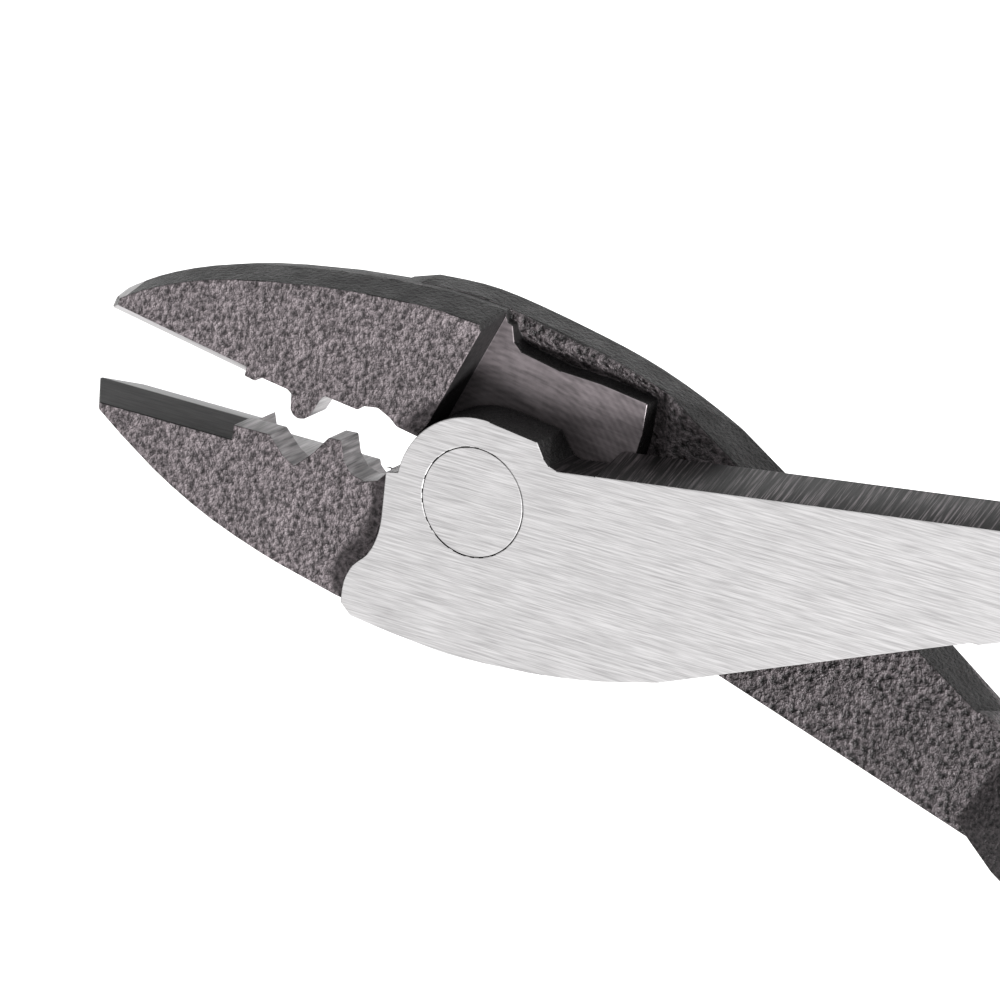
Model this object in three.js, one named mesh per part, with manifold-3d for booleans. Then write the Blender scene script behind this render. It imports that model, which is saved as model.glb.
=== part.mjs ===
// Crimping and cutting pliers with a riveted lap joint: two forged halves, a flush rivet, and two dipped grips.
// Millimetres. +Z is up, out of the ground face of the front half. The pliers lie flat, with the jaws at -X,
// the handles at +X, the rivet on the Z axis and the ground face of the rear half at Z = 0.
// Each half is drawn in its own flat frame (u, v), in which u = 0, v = 0 is the rivet and v = 0 is the line
// where the cutting edges meet when the jaws are shut. The half is then turned by half of the opening angle.
import * as THREE from "three";
import { mergeVertices } from "three/addons/utils/BufferGeometryUtils.js";
import Module from "manifold-3d";

const wasm = await Module();
wasm.setup();

// Driving dimensions.
const THICK = 12.7; // across the joint, from one ground face to the other
const MID = THICK / 2;
const LAP_GAP = 0.15; // from each mating face to the middle plane
const OPEN_DEG = 9.85; // jaw opening of the pose that is modelled
const TIP = 51.6; // rivet to the nose
const UPPER_EDGE = -0.35; // how far the upper cutter's edge stands past the meeting line
const JAW_LOW = 1.5;
const JAW_HIGH = 11.1;
const DIE_SPLIT = 7.0; // the dies in the front of the jaw end at this height
const BOSS_R = 9.5;
const BOSS_CLEAR = 0.3;
const PLATE = 4.9; // thickness of the forged web beside the mating pad
const DISH = 1.5; // depth of the valley round the pad, and DISH_REACH is how far it spreads into the web
const DISH_REACH = 1.9;
const RIM = 4.5; // width of the full rim along the outer edge of the front half
const HANDLE_LOW = 1.5;
const HANDLE_HIGH = 11.2;
const STEP_U = 64.7; // where the web ramps up to the full handle, and RAMP is the length of the ramp
const RAMP = 13;
const SPUR_INSET = 0.9;
const SOFT = 0.4; // rounding of the web's forged edge
const OUTER_DRAFT = 0.24; // how far the web's long sides lean for each mm away from the ground face
const JAW_DRAFT = 0.8; // how much wider the jaw is at its middle plane than at its faces
const NOSE_LEAN = 0.62;
const RIVET_R = 6.1;
const SHANK_R = 4.6;
const HEAD_DEPTH = 2.6;
const RIVET_GAP = 0.09;
const GRIP_START = 0.26; // share of the handle's centre line
const STEEL_END = 0.965;
const GRIP_GAP = 0.3;
const ROUND_STEPS = 72;
const BIG = 400;

// Solids.
function solid(geometry) {
  geometry.deleteAttribute("normal");
  geometry.deleteAttribute("uv");
  const merged = mergeVertices(geometry, 1e-4);
  return new wasm.Manifold(
    new wasm.Mesh({
      numProp: 3,
      vertProperties: new Float32Array(merged.attributes.position.array),
      triVerts: new Uint32Array(merged.index.array),
    }),
  );
}

function outline(points) {
  const vectors = points.map(([u, v]) => new THREE.Vector2(u, v));
  return new THREE.Shape(THREE.ShapeUtils.isClockWise(vectors) ? vectors.reverse() : vectors);
}

function slab(points, low, high) {
  const options = { depth: high - low, bevelEnabled: false };
  return solid(new THREE.ExtrudeGeometry(outline(points), options).translate(0, 0, low));
}

// A slab whose top and bottom edges are rounded inwards by the radius.
function roundedSlab(points, low, high, radius, steps = 4) {
  const options = {
    depth: high - low - 2 * radius,
    bevelEnabled: true,
    bevelSize: radius,
    bevelThickness: radius,
    bevelOffset: -radius,
    bevelSegments: steps,
  };
  return solid(new THREE.ExtrudeGeometry(outline(points), options).translate(0, 0, low + radius));
}

function block(low, high) {
  const size = high.map((h, i) => h - low[i]);
  const centre = high.map((h, i) => (h + low[i]) / 2);
  return solid(new THREE.BoxGeometry(...size).translate(...centre));
}

// Everything on the side of a slanted plane that the normal points to.
function beyond(point, normal, { reach = BIG } = {}) {
  const box = new THREE.BoxGeometry(reach, reach, reach).translate(0, 0, reach / 2);
  const turn = new THREE.Quaternion().setFromUnitVectors(
    new THREE.Vector3(0, 0, 1),
    new THREE.Vector3(...normal).normalize(),
  );
  return solid(box.applyQuaternion(turn).translate(...point));
}

function disc(radius, low, high) {
  const drum = new THREE.CylinderGeometry(radius, radius, high - low, ROUND_STEPS);
  return solid(drum.rotateX(Math.PI / 2).translate(0, 0, (low + high) / 2));
}

function arc(radius, fromDeg, toDeg, steps) {
  const points = [];
  for (let i = 0; i <= steps; i++) {
    const angle = THREE.MathUtils.degToRad(fromDeg + ((toDeg - fromDeg) * i) / steps);
    points.push([radius * Math.cos(angle), radius * Math.sin(angle)]);
  }
  return points;
}

function smooth(points, steps) {
  const line = new THREE.SplineCurve(points.map(([u, v]) => new THREE.Vector2(u, v)));
  return line.getPoints(steps).map((p) => [p.x, p.y]);
}

// The handle's centre line, and its outline for a given half width along it.
const HANDLE_LINE = new THREE.SplineCurve(
  [
    [52, -3.9],
    [62, -7],
    [80, -12.2],
    [100, -17.6],
    [125, -22.4],
    [150, -24.4],
    [175, -24.2],
    [196.6, -22.4],
  ].map(([u, v]) => new THREE.Vector2(u, v)),
);

function alongHandle(from, to, halfWidth, steps) {
  const outer = [];
  const inner = [];
  for (let i = 0; i <= steps; i++) {
    const share = from + ((to - from) * i) / steps;
    const p = HANDLE_LINE.getPointAt(share);
    const t = HANDLE_LINE.getTangentAt(share);
    const w = halfWidth(share);
    outer.push([p.x + t.y * w, p.y - t.x * w]);
    inner.push([p.x - t.y * w, p.y + t.x * w]);
  }
  return { outer, inner };
}

function roundEnd(share, halfWidth, steps) {
  const p = HANDLE_LINE.getPointAt(share);
  const t = HANDLE_LINE.getTangentAt(share);
  const heading = Math.atan2(t.y, t.x);
  const points = [];
  for (let i = 1; i < steps; i++) {
    const angle = heading - Math.PI / 2 + (Math.PI * i) / steps;
    points.push([p.x + halfWidth * Math.cos(angle), p.y + halfWidth * Math.sin(angle)]);
  }
  return points;
}

const steelWidth = (share) => 5.8 - 1.6 * THREE.MathUtils.smoothstep(share, 0.05, 0.32);
const gripWidth = (share) =>
  6.7 +
  1.1 * Math.exp(-(((share - GRIP_START - 0.03) / 0.03) ** 2)) +
  0.5 * Math.sin(Math.PI * THREE.MathUtils.smoothstep(share, 0.4, 1));

// Outer edge of the handle on the ground face: a straight line just below the rivet.
const outerEdge = (u) => -4.76 - 0.1334 * u;

// The joint and handle of one half, with its ground face at z = 0 and its mating pad looking up.
function bossEdge() {
  return [...arc(BOSS_R, 186, 280, 20), [6.8, -8.7], [7.8, -7.1], [8.6, -6.35], [9.6, outerEdge(9.6)]];
}

// Inner edge of the ground face, from the handle round the belly to the throat beside the jaw.
const FRONT_BELLY = [
  [43.2, 6.6],
  [32, 11.8],
  [20.3, 15.4],
  [11.3, 17.1],
  [1.3, 17.9],
  [-6, 17.6],
  [-13.2, 16.8],
];
const FRONT_THROAT = [
  [-14.6, 15.6],
  [-14.5, 13],
  [-13.6, 10.9],
];
const REAR_BELLY = [
  [43.2, 7.7],
  [32, 12.4],
  [22.3, 16.2],
  [12, 18.5],
  [2, 19.2],
  [-9, 19.1],
  [-16.6, 17.6],
];
const REAR_THROAT = [
  [-19.7, 16],
  [-18.4, 13.2],
  [-14.4, 10.9],
];

function groundFace(belly, throat) {
  const neck = alongHandle(0.08, 0.17, steelWidth, 4);
  const start = [50.3, belly[0][1] - 2.8];
  const end = smooth([...throat, [-12, 9.2], [-11.1, 7], [-10.8, 4.5], [-10.9, -0.7]], 18);
  return [...bossEdge(), ...neck.outer, ...neck.inner.reverse(), start, ...smooth(belly, 24), ...end, [-9.5, -1]];
}

// The flat pad that the other half turns on. spur is how far its corner by the jaw wall stands out.
function padOutline(spur) {
  return [
    ...arc(BOSS_R, 150, 280, 26),
    [6.8, -8.7],
    [7.8, -7.1],
    [8.6, -6.35],
    [9.6, outerEdge(9.6)],
    [14.1, outerEdge(14.1)],
    [14.1, 12.8],
    [13.6, 16.5],
    [7.8, 16.3],
    [2.9, 15.7],
    [-2.3, 15.8],
    [-3.3, 16.4],
    [-4.1, spur],
    [-6, spur],
  ];
}

const RIM_END = [75, -15.6]; // the rim tapers into the handle here

function rimOutline(lean) {
  const along = [14.1, 30, 45, STEP_U - 3];
  const outer = along.map((u) => [u, outerEdge(u) - lean]);
  const inner = along.map((u) => [u, outerEdge(u) + RIM]).reverse();
  return [...outer, RIM_END, ...inner];
}

// The valley that the forging leaves along the pad, on the sides that look at the shoulder and the handle.
const VALLEY = [
  [-2.8, 15.8],
  [7.8, 16.3],
  [13.6, 16.5],
  [15.2, 12.8],
  [15.2, 0],
  [-2.8, 0],
];

function dish() {
  const options = {
    depth: 2,
    bevelEnabled: true,
    bevelSize: DISH_REACH,
    bevelThickness: DISH,
    bevelSegments: 1,
  };
  const valley = new THREE.ExtrudeGeometry(outline(VALLEY), options).translate(0, 0, PLATE);
  return solid(valley);
}

function handleSteel() {
  const sides = alongHandle(0.055, STEEL_END, steelWidth, 24);
  const end = roundEnd(STEEL_END, steelWidth(STEEL_END), 10);
  const bar = roundedSlab([...sides.outer, ...end, ...sides.inner.reverse()], HANDLE_LOW, HANDLE_HIGH, 2.4, 3);
  const rise = HANDLE_HIGH - PLATE + 1;
  return bar.subtract(beyond([STEP_U, 0, PLATE], [-rise, 0.3 * rise, RAMP]));
}

function jointAndHandle({ belly, throat, rimTop, rimLean }) {
  const web = roundedSlab(groundFace(belly, throat), -SOFT, PLATE, SOFT)
    .subtract(block([-BIG, -BIG, -BIG], [BIG, BIG, 0]))
    .subtract(dish());
  const blank = web.add(slab(padOutline(belly.at(-2)[1] - SPUR_INSET), 0.5, MID - LAP_GAP)).add(slab(rimOutline(rimLean), 0, rimTop));
  const outside = beyond([0, outerEdge(0), 0], [-0.1334, -1, -OUTER_DRAFT]);
  const inside = beyond([belly[0][0], belly[0][1], 0], [0.41, 1, OUTER_DRAFT]);
  return blank
    .subtract(outside.intersect(block([9.6, -BIG, -BIG], [STEP_U, 0, BIG])))
    .subtract(inside.intersect(block([-BIG, 0, -BIG], [STEP_U, BIG, BIG])))
    .add(handleSteel());
}

// Turns a solid over about the u axis, so that its ground face looks up at z = THICK.
const turnedOver = (made) => made.rotate([180, 0, 0]).translate([0, 0, THICK]);
const mirrored = (points) => points.map(([u, v]) => [u, -v]);

// The jaws. These outer edges are at the middle plane, and the jaw leans in from there to its two faces.
const UPPER_BACK_EDGE = [
  [-TIP, UPPER_EDGE],
  [-50.7, 2],
  [-49, 3.8],
  [-45.8, 6.4],
  [-41, 9.4],
  [-35.5, 12],
  [-27.7, 14.8],
  [-21.6, 16.6],
  [-15.5, 18.1],
  [-10.6, 19],
  [-5.4, 19.5],
];
const LOWER_BACK_EDGE = [
  [-TIP, 0],
  [-50.7, 1.5],
  [-48.7, 2.9],
  [-44.5, 5.8],
  [-39.3, 8.9],
  [-33, 11.8],
  [-26, 14.1],
  [-20.7, 15.4],
  [-15, 16.6],
  [-10.6, 17.2],
  [-5.4, 17.5],
];
const WALL = [
  [-5.2, 18.9],
  [-8.3, 5.4],
];

// Edge that faces the other jaw, from the nose to the rivet: one list for the front of the jaw, one for its back.
const UPPER_DIES = [
  [-31.2, UPPER_EDGE],
  [-31.2, 1.15],
  [-29.8, 1.1],
  [-29.1, 1.8],
  [-25.7, 1.9],
  [-25.1, 1.6],
  [-24.7, -0.1],
  [-24.2, -0.6],
  [-23.5, -0.75],
  [-22.8, -0.5],
  [-22.3, 0],
  [-21.5, 2.5],
  [-21.1, 3.1],
  [-16.9, 3.3],
  [-16.3, 4],
  [-14.6, 4.55],
  [-12.9, 4.1],
  [-11.8, 3.5],
];
const LOWER_DIES = [
  [-31.2, 0],
  [-31.2, 0.55],
  [-26.6, 0.6],
  [-24.6, -1.4],
  [-23.1, -2.2],
  [-20.9, -0.1],
  [-19.2, 2.1],
  [-17.6, 2.2],
  [-17, 0.1],
  [-15.8, -1.3],
  [-14.2, -1.7],
  [-12.6, -1.2],
  [-11.4, 0.2],
  [-10.9, 0.8],
];
const RELIEF = 2.1; // the back of each jaw is cut this much clear of the meeting line
const UPPER_BACK = [
  [-31.2, UPPER_EDGE],
  [-30.6, RELIEF],
  [-18.6, RELIEF + 1],
  ...nest(-14.4, RELIEF + 1, 3.2, 1),
];
const LOWER_BACK = [
  [-31.2, 0],
  [-30.6, -RELIEF],
  [-18.6, -RELIEF],
  ...nest(-14.4, -RELIEF, 2.9, -1),
];

// A round nest of the given radius cut into an edge at height v.
function nest(u, v, radius, side) {
  const points = [];
  for (let i = 0; i <= 8; i++) {
    const angle = Math.PI * (1 - i / 8);
    points.push([u + radius * Math.cos(angle), v + side * 0.6 * radius * Math.sin(angle)]);
  }
  return points;
}

// The blank of a jaw: an outline that leans in from the middle plane to both faces.
function draftedSlab(points, low, high, draft) {
  const height = (high - low) / 2;
  const options = {
    depth: 0.02,
    bevelEnabled: true,
    bevelSize: draft,
    bevelThickness: height,
    bevelOffset: -draft,
    bevelSegments: 1,
  };
  return solid(new THREE.ExtrudeGeometry(outline(points), options).translate(0, 0, low + height));
}

// side is 1 for the upper jaw and -1 for the lower one, whose dies are drawn in their own place.
function jaw({ side, backEdge, dies, backDies, bevel, nearPivot }) {
  const edge = dies[0][1];
  const place = (points) => (side > 0 ? points : mirrored(points));
  const middle = (JAW_LOW + JAW_HIGH) / 2;
  const body = place([...smooth(backEdge, 22), [-3.9, 17], [-2.6, 0], [-12, -6], [-TIP - 1, -6]]);
  let made = draftedSlab(body, JAW_LOW, JAW_HIGH, JAW_DRAFT);
  const cut = (profile, low, high) => {
    const last = profile.at(-1)[1];
    const room = [
      [-TIP - 9, edge],
      ...profile,
      [nearPivot, last],
      [BIG, last],
      [BIG, -40 * side],
      [-TIP - 9, -40 * side],
    ];
    return slab(room, low, high);
  };
  made = made.subtract(cut(dies, DIE_SPLIT, THICK)).subtract(cut(backDies, -1, DIE_SPLIT));
  for (const up of [1, -1]) {
    const half = up > 0 ? block([-BIG, -BIG, middle], [BIG, BIG, BIG]) : block([-BIG, -BIG, -BIG], [BIG, BIG, middle]);
    const cutter = block([-TIP - 9, -60, -1], [-31.2, 60, THICK + 1]);
    const slant = beyond([0, edge, middle], [0, -side, up * bevel]);
    made = made.subtract(slant.intersect(cutter).intersect(half));
    made = made.subtract(beyond([-TIP + 0.1, 0, middle], [-1, 0, up * NOSE_LEAN]).intersect(half));
  }
  return made;
}

// What the other half's boss and joint sweep through is cut from the jaw on that half's side of the middle plane.
function lapCut(side, low, high) {
  const wall = side > 0 ? WALL : mirrored(WALL);
  const room = [...wall, [-8.3, 0], [BIG, 0], [BIG, 40 * side], [-4.2, 40 * side]];
  return slab(room, low, high).add(disc(BOSS_R + BOSS_CLEAR, low, high));
}

function rivetSolid(grow) {
  const head = RIVET_R + grow;
  const shank = SHANK_R + grow;
  const profile = [
    [0, -grow],
    [head, -grow],
    [head, 0.4],
    [shank, HEAD_DEPTH],
    [shank, THICK - HEAD_DEPTH],
    [head, THICK - 0.4],
    [head, THICK + grow],
    [0, THICK + grow],
  ].map(([r, z]) => new THREE.Vector2(r, z));
  return solid(new THREE.LatheGeometry(profile, ROUND_STEPS).rotateX(Math.PI / 2));
}

const rivetHole = rivetSolid(RIVET_GAP);

function rearHalf() {
  const joint = jointAndHandle({ belly: REAR_BELLY, throat: REAR_THROAT, rimTop: PLATE, rimLean: 0.6 });
  const upperJaw = jaw({
    side: 1,
    backEdge: UPPER_BACK_EDGE,
    dies: UPPER_DIES,
    backDies: UPPER_BACK,
    bevel: 0.55,
    nearPivot: -9.1,
  });
  const cut = upperJaw.subtract(lapCut(1, MID - LAP_GAP, THICK));
  return joint.add(cut).subtract(rivetHole);
}

function frontHalf() {
  const joint = turnedOver(
    jointAndHandle({
      belly: FRONT_BELLY,
      throat: FRONT_THROAT,
      rimTop: MID - LAP_GAP,
      rimLean: OUTER_DRAFT * MID,
    }),
  );
  const lowerJaw = jaw({
    side: -1,
    backEdge: LOWER_BACK_EDGE,
    dies: LOWER_DIES,
    backDies: LOWER_BACK,
    bevel: 0.25,
    nearPivot: -9.5,
  });
  const cut = lowerJaw.subtract(lapCut(-1, 0, MID + LAP_GAP));
  return joint.add(cut).subtract(rivetHole);
}

// A dipped grip: a soft sleeve with a closed, rounded end and a swelling where the fingers stop.
function grip() {
  const sides = alongHandle(GRIP_START, 0.967, gripWidth, 24);
  const end = roundEnd(0.967, gripWidth(0.967), 12);
  const sleeve = roundedSlab([...sides.outer, ...end, ...sides.inner.reverse()], 0, THICK, 3.8, 5);
  const grown = (share) => steelWidth(share) + GRIP_GAP;
  const room = alongHandle(GRIP_START - 0.05, STEEL_END, grown, 18);
  const roomEnd = roundEnd(STEEL_END, grown(STEEL_END), 10);
  const inside = roundedSlab(
    [...room.outer, ...roomEnd, ...room.inner.reverse()],
    HANDLE_LOW - GRIP_GAP,
    HANDLE_HIGH + GRIP_GAP,
    2.2,
    2,
  );
  return sleeve.subtract(inside);
}

// Meshes.
function meshOf(made, name, material) {
  const data = made.getMesh();
  const geometry = new THREE.BufferGeometry();
  geometry.setAttribute("position", new THREE.BufferAttribute(data.vertProperties, 3));
  geometry.setIndex(new THREE.BufferAttribute(data.triVerts, 1));
  const flat = geometry.toNonIndexed();
  flat.computeVertexNormals();
  const mesh = new THREE.Mesh(flat, material);
  mesh.name = name;
  return mesh;
}

const forged = new THREE.MeshStandardMaterial({ color: 0x3c393b, roughness: 0.55, metalness: 0.8 });
const ground = new THREE.MeshStandardMaterial({ color: 0xd9d7d3, roughness: 0.35, metalness: 1 });
const dipped = new THREE.MeshStandardMaterial({ color: 0xb01c2a, roughness: 0.4, metalness: 0 });

const pliers = new THREE.Group();
const frontSide = new THREE.Group();
frontSide.rotation.z = THREE.MathUtils.degToRad(OPEN_DEG / 2);
frontSide.add(meshOf(frontHalf(), "front_half", forged));
frontSide.add(meshOf(turnedOver(grip()), "front_grip", dipped));
frontSide.add(meshOf(rivetSolid(0), "rivet", ground));

const rearSide = new THREE.Group();
rearSide.rotation.z = THREE.MathUtils.degToRad(-OPEN_DEG / 2);
rearSide.add(meshOf(rearHalf(), "rear_half", forged));
rearSide.add(meshOf(grip(), "rear_grip", dipped));

pliers.add(frontSide, rearSide);
export default pliers;
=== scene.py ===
"""Crimping and cutting pliers: forged steel halves, a flush rivet and dipped grips, on a pale floor."""

import math

import bmesh
import bpy
from mathutils import Matrix, Vector


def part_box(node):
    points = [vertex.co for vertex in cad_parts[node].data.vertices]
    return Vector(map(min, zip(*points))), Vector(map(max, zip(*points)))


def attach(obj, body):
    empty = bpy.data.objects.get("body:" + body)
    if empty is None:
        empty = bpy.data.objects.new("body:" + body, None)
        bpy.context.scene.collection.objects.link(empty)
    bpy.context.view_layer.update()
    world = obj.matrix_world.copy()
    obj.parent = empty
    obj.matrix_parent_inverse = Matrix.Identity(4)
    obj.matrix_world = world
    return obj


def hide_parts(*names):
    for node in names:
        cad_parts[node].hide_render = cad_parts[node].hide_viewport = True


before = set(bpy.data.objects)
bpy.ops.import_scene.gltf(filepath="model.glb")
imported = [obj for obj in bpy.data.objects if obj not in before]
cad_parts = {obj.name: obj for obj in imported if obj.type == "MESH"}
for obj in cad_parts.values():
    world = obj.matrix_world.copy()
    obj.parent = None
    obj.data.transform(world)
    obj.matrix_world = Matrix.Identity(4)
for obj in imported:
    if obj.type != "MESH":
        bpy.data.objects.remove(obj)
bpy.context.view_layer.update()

MM = 0.001
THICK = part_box("rivet")[1].z  # the front ground face; the back one is at zero
HALF_OPEN = math.radians(9.85 / 2)  # each half is turned this far from the shut position at rest
EDGE_ROUND = 0.16 * MM
NEST_START = -31.2 * MM  # the cutter is nearer to the nose than this, and the nests are nearer to the rivet
JAW_END = -8.2 * MM
STEP_START = 60 * MM

# The camera: the angle between the rivet and the line of sight, the way the depth leans on the picture,
# the turn of the pliers about the rivet, and where the rivet sits beside the middle of the picture.
CAMERA_TILT = math.radians(31.1)
CAMERA_LEAN = math.radians(26.6)
CAMERA_TURN = math.radians(-12.6)
CAMERA_AWAY = 0.6
CAMERA_LENS = 198.72
RIVET_SHIFT = Vector((-3.04, -0.27, 0)) * MM

FLOOR_DROP = 0.12  # the floor is this far below, so that it takes no hard shadow


# Node helpers.
class Look:
    """A material under construction: each call adds a node and returns the output that is wanted."""

    def __init__(self, name, turn=0.0):
        self.material = bpy.data.materials.new(name)
        self.material.use_nodes = True
        self.tree = self.material.node_tree
        self.shader = self.tree.nodes["Principled BSDF"]
        self.turn = turn
        coordinates = self.tree.nodes.new("ShaderNodeTexCoord")
        self.place = coordinates.outputs["Object"]

    def add(self, kind, inputs=None, **settings):
        node = self.tree.nodes.new(kind)
        for key, value in settings.items():
            setattr(node, key, value)
        for key, value in (inputs or {}).items():
            self.put(node.inputs[key], value)
        return node

    def put(self, socket, value):
        if isinstance(value, bpy.types.NodeSocket):
            self.tree.links.new(value, socket)
        else:
            socket.default_value = value

    def stretched(self, scale):
        """Object coordinates turned with the half and stretched, so that a texture can run along it."""
        turned = self.add("ShaderNodeMapping", {"Vector": self.place, "Rotation": (0, 0, -self.turn)})
        return self.add("ShaderNodeMapping", {"Vector": turned.outputs[0], "Scale": scale}).outputs[0]

    def noise(self, scale, detail=3.0, rough=0.55, at=None, warp=0.0):
        inputs = {"Scale": scale, "Detail": detail, "Roughness": rough, "Distortion": warp}
        inputs["Vector"] = at or self.place
        return self.add("ShaderNodeTexNoise", inputs).outputs["Fac"]

    def cells(self, scale, at=None):
        inputs = {"Scale": scale, "Vector": at or self.place, "Smoothness": 0.6}
        return self.add("ShaderNodeTexVoronoi", inputs, feature="SMOOTH_F1").outputs["Distance"]

    def ramp(self, value, *stops):
        node = self.add("ShaderNodeValToRGB", {"Fac": value})
        elements = node.color_ramp.elements
        while len(elements) < len(stops):
            elements.new(0.5)
        for element, (at, colour) in zip(elements, stops):
            element.position = at
            element.color = (*colour, 1) if isinstance(colour, tuple) else (colour, colour, colour, 1)
        return node.outputs["Color"]

    def mix(self, share, a, b, blend="MIX"):
        node = self.add("ShaderNodeMix", data_type="RGBA", blend_type=blend)
        self.put(node.inputs["Factor"], share)
        self.put(node.inputs["A"], a if isinstance(a, bpy.types.NodeSocket) else (*a, 1))
        self.put(node.inputs["B"], b if isinstance(b, bpy.types.NodeSocket) else (*b, 1))
        return node.outputs["Result"]

    def maths(self, operation, a, b=0.0):
        node = self.add("ShaderNodeMath", operation=operation)
        self.put(node.inputs[0], a)
        self.put(node.inputs[1], b)
        return node.outputs[0]

    def bump(self, height, depth, strength=1.0, under=None):
        inputs = {"Height": height, "Distance": depth, "Strength": strength}
        if under is not None:
            inputs["Normal"] = under
        return self.add("ShaderNodeBump", inputs).outputs["Normal"]

    def finish(self, **sockets):
        names = {"colour": "Base Color", "rough": "Roughness", "metal": "Metallic", "normal": "Normal"}
        for key, value in sockets.items():
            self.put(self.shader.inputs[names.get(key, key)], value)
        return self.material


def grey(value, warm=0.0):
    """A linear grey from a display value of 0 to 255, with a touch of red, and of less blue than red."""
    shade = (value / 255) ** 2.2
    return (shade * (1 + 3 * warm), shade, shade * (1 + warm))


# Materials.
def forged_steel(name, dark, light, grain=2300, depth=0.09, rough=0.5, turn=0.0):
    """Black as-forged steel: an orange-peel grain with lighter crests and slow stains."""
    look = Look(name, turn)
    coarse = look.noise(grain, 2.0, 0.5)
    fine = look.noise(grain * 2.7, 2.0, 0.6)
    pits = look.cells(grain * 0.62)
    height = look.maths("ADD", look.maths("MULTIPLY", coarse, 0.9), look.maths("MULTIPLY", fine, 0.3))
    height = look.maths("ADD", height, look.maths("MULTIPLY", pits, 0.45))
    crests = look.ramp(height, (0.62, 0.0), (1.0, 1.0))
    colour = look.mix(crests, grey(dark, 0.06), grey(light, 0.055))
    stain = look.ramp(look.noise(70, 4.0, 0.6), (0.35, 0.72), (0.7, 1.08))
    colour = look.mix(0.85, colour, stain, "MULTIPLY")
    sheen = look.ramp(look.noise(300, 3.0), (0.3, rough - 0.08), (0.7, rough + 0.1))
    wave = look.bump(look.noise(420, 2.0), 0.10 * MM, 0.5)
    normal = look.bump(height, depth * MM, 1.0, wave)
    return look.finish(colour=colour, rough=sheen, metal=0.1, normal=normal, **{"Specular IOR Level": 0.35})


def ground_steel(name, turn):
    """Bright steel ground with a belt: straight fine lines of mixed depth along the closed jaws."""
    look = Look(name, turn)
    hair = look.noise(1.0, 3.0, 0.65, look.stretched((190, 6200, 1)))
    line = look.noise(1.0, 2.0, 0.6, look.stretched((150, 4000, 1)))
    band = look.noise(1.0, 2.0, 0.5, look.stretched((30, 420, 1)))
    scratch = look.noise(1.0, 1.0, 0.5, look.stretched((300, 9500, 1)))
    grain = look.maths("ADD", look.maths("MULTIPLY", hair, 0.6), look.maths("MULTIPLY", line, 0.4))
    colour = look.mix(look.ramp(grain, (0.38, 0.0), (0.6, 1.0)), grey(146, 0.008), grey(184, 0.006))
    colour = look.mix(look.ramp(scratch, (0.66, 0.0), (0.76, 0.6)), colour, grey(150, 0.03))
    colour = look.mix(0.5, colour, look.ramp(band, (0.3, 0.92), (0.7, 1.04)), "MULTIPLY")
    sheen = look.ramp(grain, (0.3, 0.52), (0.7, 0.42))
    normal = look.bump(grain, 0.012 * MM, 0.8)
    return look.finish(colour=colour, rough=sheen, metal=0.35, normal=normal)


def cross_ground_steel(name, turn):
    """The handle's outer strip: black steel touched by a coarse wheel, with bright lines across it."""
    look = Look(name, turn)
    skewed = look.add("ShaderNodeMapping", {"Vector": look.place, "Rotation": (0, 0, -turn - 0.35)}).outputs[0]
    across = look.add("ShaderNodeMapping", {"Vector": skewed, "Scale": (3300, 110, 110)}).outputs[0]
    fine = look.add("ShaderNodeMapping", {"Vector": skewed, "Scale": (7600, 240, 240)}).outputs[0]
    lines = look.noise(1.0, 2.0, 0.6, across)
    hairs = look.noise(1.0, 2.0, 0.6, fine)
    cuts = look.maths("ADD", look.maths("MULTIPLY", lines, 0.6), look.maths("MULTIPLY", hairs, 0.4))
    patch = look.ramp(look.noise(160, 3.0), (0.35, 0.25), (0.6, 1.0))
    bright = look.maths("MULTIPLY", look.ramp(cuts, (0.5, 0.0), (0.62, 1.0)), patch)
    colour = look.mix(bright, grey(14, 0.06), grey(96, 0.05))
    normal = look.bump(cuts, 0.05 * MM, 0.9)
    return look.finish(colour=colour, rough=look.ramp(cuts, (0.3, 0.55), (0.7, 0.35)), metal=0.5, normal=normal)


def filed_steel(name, dark, light, scale=(2600, 2600, 160), rough=0.38, turn=0.0):
    """A cutter bevel or a nest wall: cut smooth, with fine tool lines."""
    look = Look(name, turn)
    lines = look.noise(1.0, 3.0, 0.6, look.stretched(scale))
    blotch = look.noise(420, 3.0, 0.6)
    colour = look.mix(look.ramp(lines, (0.35, 0.0), (0.68, 1.0)), grey(dark, 0.02), grey(light, 0.02))
    colour = look.mix(0.7, colour, look.ramp(blotch, (0.3, 0.75), (0.7, 1.1)), "MULTIPLY")
    normal = look.bump(lines, 0.02 * MM, 0.8)
    return look.finish(colour=colour, rough=rough, metal=0.6, normal=normal)


def pad_steel(name, turn):
    """The machined pad that the halves turn on: smooth dark grey, rubbed in arcs about the rivet, and darkened next to
    the front half's boss by painted shade and a painted dark reflection.
    """
    look = Look(name, turn)
    away = look.add("ShaderNodeVectorMath", {0: look.place, 1: (1, 1, 0)}, operation="MULTIPLY").outputs[0]
    radius = look.add("ShaderNodeVectorMath", {0: away}, operation="LENGTH").outputs["Value"]
    rings = look.maths("SINE", look.maths("MULTIPLY", radius, 9000.0))
    wobble = look.noise(900, 3.0)
    lines = look.noise(1.0, 2.0, 0.5, look.stretched((260, 2400, 260)))
    mix = look.maths("ADD", look.maths("MULTIPLY", rings, 0.05), look.maths("MULTIPLY", lines, 0.6))
    mix = look.maths("ADD", mix, look.maths("MULTIPLY", wobble, 0.4))
    colour = look.mix(look.ramp(mix, (0.35, 0.0), (0.65, 1.0)), grey(84, 0.05), grey(112, 0.05))
    # Darker within about 13 mm of the rivet: painted shadow and a painted reflection of the front half's boss wall on
    # the pad.
    boss_shade = look.ramp(radius, (0.0112, 0.42), (0.0132, 1.0))
    colour = look.mix(1.0, colour, boss_shade, "MULTIPLY")
    normal = look.bump(mix, 0.02 * MM, 0.7)
    return look.finish(colour=colour, rough=0.42, metal=0.4, normal=normal)


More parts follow.
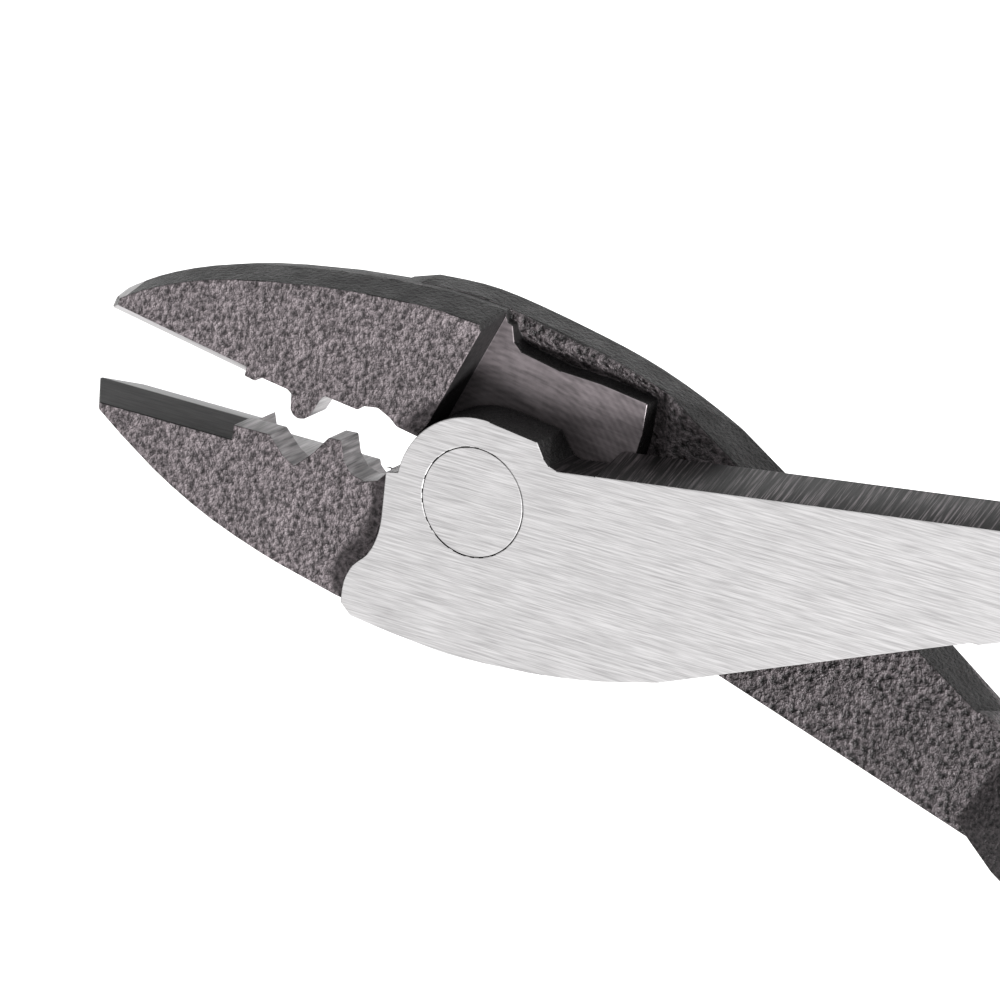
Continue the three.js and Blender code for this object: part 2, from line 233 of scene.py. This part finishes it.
def dipped_vinyl(name):
    """Soft red vinyl from a dip: glossy, with a faint skin and a few runs."""
    look = Look(name)
    skin = look.noise(900, 3.0)
    runs = look.noise(1.0, 2.0, 0.5, look.stretched((45, 220, 220)))
    colour = look.mix(look.ramp(look.noise(55, 3.0), (0.3, 0.0), (0.7, 1.0)), (0.2, 0.004, 0.009), (0.28, 0.007, 0.013))
    scuff = look.ramp(look.noise(700, 5.0, 0.7), (0.62, 0.0), (0.74, 0.35))
    colour = look.mix(scuff, colour, (0.32, 0.04, 0.04))
    normal = look.bump(skin, 0.02 * MM, 0.5, look.bump(runs, 0.25 * MM, 0.35))
    sheen = look.ramp(look.noise(240, 3.0), (0.3, 0.26), (0.7, 0.42))
    return look.finish(colour=colour, rough=sheen, normal=normal, **{"Coat Weight": 0.25, "Coat Roughness": 0.2})


# Pieces.
FACE, SIDE, GROUND, STRIP, BEVEL, NEST, PAD, WEB, WALL, HANDLE = range(10)


def half_materials(prefix, turn, bevel_painted_light_and_shade):
    return [
        forged_steel(f"{prefix}_jaw_face", 56, 112, 1900, 0.8, 0.5, turn),
        # The sides are the same forged skin as the jaw face, made near black: painted shade for faces turned away from
        # the light.
        forged_steel(f"{prefix}_side_painted_shade", 12, 24, 2500, 0.35, 0.55, turn),
        ground_steel(f"{prefix}_ground_face", turn),
        cross_ground_steel(f"{prefix}_outer_strip", turn),
        filed_steel(f"{prefix}_cutter_bevel", *bevel_painted_light_and_shade, scale=(240, 2600, 2600), turn=turn),
        filed_steel(f"{prefix}_nest_wall", 70, 130, turn=turn),
        pad_steel(f"{prefix}_pad", turn),
        forged_steel(f"{prefix}_forged_web", 24, 84, 1900, 0.8, 0.42, turn),
        # The jaw wall is the same forged skin made near black: painted shade for a wall that faces away from the light.
        forged_steel(f"{prefix}_jaw_wall_painted_shade", 14, 26, 2600, 0.05, 0.6, turn),
        forged_steel(f"{prefix}_handle", 26, 70, 2500, 0.5, 0.48, turn),
    ]


def kind_of_face(u, v, z, normal, ground_up, jaw_side):
    """Which finish a face of a half has. u and v are in the half's own frame, and v grows away from its jaw's edge.
    ground_up is 1 where the half's ground face looks up, and -1 where it looks down."""
    flat = abs(normal.z)
    face_z = THICK if ground_up > 0 else 0.0
    if flat > 0.99 and abs(z - face_z) < 0.05 * MM:
        return GROUND
    if u > STEP_START:
        return HANDLE
    if u < JAW_END and flat > 0.95:
        return FACE
    if u < NEST_START and normal.y * jaw_side < -0.3:
        return BEVEL
    if u < -9 * MM and v * jaw_side < 5.2 * MM and flat < 0.5 and normal.y * jaw_side < 0.75:
        return NEST
    if flat > 0.99 and abs(z - THICK / 2) < 0.4 * MM:
        return PAD
    if flat < 0.5 and normal.x > 0.9 and -9 * MM < u < -3 * MM:
        return WALL
    if flat < 0.5 and normal.y * jaw_side < -0.8 and u > 9 * MM:
        return STRIP
    return WEB if flat > 0.5 else SIDE


def clean_copy(node, name):
    """A CAD node's mesh with its faces merged, ready to be given rounded edges."""
    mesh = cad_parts[node].data.copy()
    mesh.name = name
    mesh.materials.clear()
    work = bmesh.new()
    work.from_mesh(mesh)
    bmesh.ops.remove_doubles(work, verts=work.verts, dist=0.003 * MM)
    bmesh.ops.dissolve_limit(work, angle_limit=math.radians(1.5), verts=work.verts, edges=work.edges)
    bmesh.ops.dissolve_degenerate(work, dist=0.02 * MM, edges=work.edges)
    for face in work.faces:
        face.smooth = True
    work.to_mesh(mesh)
    work.free()
    mesh.set_sharp_from_angle(angle=math.radians(30))
    piece = bpy.data.objects.new(name, mesh)
    bpy.context.scene.collection.objects.link(piece)
    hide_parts(node)
    return piece


def round_edges(piece, width, segments=3):
    rounding = piece.modifiers.new("rounded_edges", "BEVEL")
    rounding.width = width
    rounding.segments = segments
    rounding.limit_method = "ANGLE"
    rounding.angle_limit = math.radians(24)
    rounding.use_clamp_overlap = False
    rounding.harden_normals = True


def make_half(node, body, turn, ground_up, jaw_side, bevel_painted_light_and_shade):
    piece = clean_copy(node, node + "_steel")
    for material in half_materials(node, turn, bevel_painted_light_and_shade):
        piece.data.materials.append(material)
    into_half = Matrix.Rotation(-turn, 3, "Z")
    for face in piece.data.polygons:
        place = into_half @ face.center
        normal = into_half @ face.normal
        face.material_index = kind_of_face(place.x, place.y, place.z, normal, ground_up, jaw_side)
    round_edges(piece, EDGE_ROUND)
    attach(piece, body)


def make_rivet():
    piece = clean_copy("rivet", "flush_rivet")
    piece.data.materials.append(ground_steel("rivet_ground_head", HALF_OPEN))
    round_edges(piece, 0.05 * MM, 2)
    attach(piece, "front_body")


def make_grip(node, body):
    piece = clean_copy(node, node + "_vinyl")
    piece.data.materials.append(dipped_vinyl(node + "_dip"))
    round_edges(piece, 0.3 * MM, 2)
    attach(piece, body)


# Stage.
def camera_axes():
    """The camera's right, up and backward directions in the frame of the pliers."""
    lean = Vector((math.cos(CAMERA_LEAN), math.sin(CAMERA_LEAN), 0)) * -math.sin(CAMERA_TILT)
    rivet = lean + Vector((0, 0, math.cos(CAMERA_TILT)))
    across = Vector((1, 0, 0)) - rivet * rivet.x
    across.normalize()
    turn = Matrix.Rotation(CAMERA_TURN, 3, rivet)
    x_axis = turn @ across
    y_axis = rivet.cross(x_axis)
    return Matrix((x_axis, y_axis, rivet))


def add_camera():
    data = bpy.data.cameras.new("camera")
    data.sensor_width = 36
    data.lens = CAMERA_LENS
    data.clip_start = 0.01
    data.clip_end = 20
    camera = bpy.data.objects.new("camera", data)
    axes = camera_axes()
    offset = Vector((RIVET_SHIFT.x, RIVET_SHIFT.y, -CAMERA_AWAY))
    camera.matrix_world = Matrix.Translation(Vector((0, 0, THICK)) - axes @ offset) @ axes.to_4x4()
    bpy.context.scene.collection.objects.link(camera)
    bpy.context.scene.camera = camera
    return axes


def add_light(name, direction, away, size, power, axes):
    data = bpy.data.lights.new(name, "AREA")
    data.shape = "DISK"
    data.size = size
    data.energy = power
    light = bpy.data.objects.new(name, data)
    towards = (axes @ Vector(direction)).normalized()
    light.location = towards * away
    light.rotation_euler = towards.to_track_quat("Z", "Y").to_euler()
    bpy.context.scene.collection.objects.link(light)


def add_floor():
    bpy.ops.mesh.primitive_plane_add(size=8, location=(0, 0, -FLOOR_DROP))
    floor = bpy.context.object
    floor.name = "floor"
    look = Look("floor_paper")
    tone = look.ramp(look.noise(3.0, 2.0), (0.3, 0.86), (0.7, 0.88))
    floor.data.materials.append(look.finish(colour=tone, rough=0.9))


def add_world(strength):
    world = bpy.data.worlds.new("studio")
    world.use_nodes = True
    world.node_tree.nodes["Background"].inputs["Color"].default_value = (1, 1, 1, 1)
    world.node_tree.nodes["Background"].inputs["Strength"].default_value = strength
    bpy.context.scene.world = world


# One filed finish on both cutter bevels: the front bevel is darkened with painted shade, the rear bevel lightened with
# painted light.
make_half("front_half", "front_body", HALF_OPEN, 1, -1, (18, 42))
make_half("rear_half", "rear_body", -HALF_OPEN, -1, 1, (120, 160))
make_rivet()
make_grip("front_grip", "front_body")
make_grip("rear_grip", "rear_body")

axes = add_camera()
add_floor()
add_world(0.55)
add_light("key", (0.45, -0.75, 0.75), 1.2, 0.3, 40, axes)
add_light("fill", (-0.5, 0.9, 0.9), 1.4, 0.8, 5, axes)
bpy.context.scene.view_settings.view_transform = "Standard"
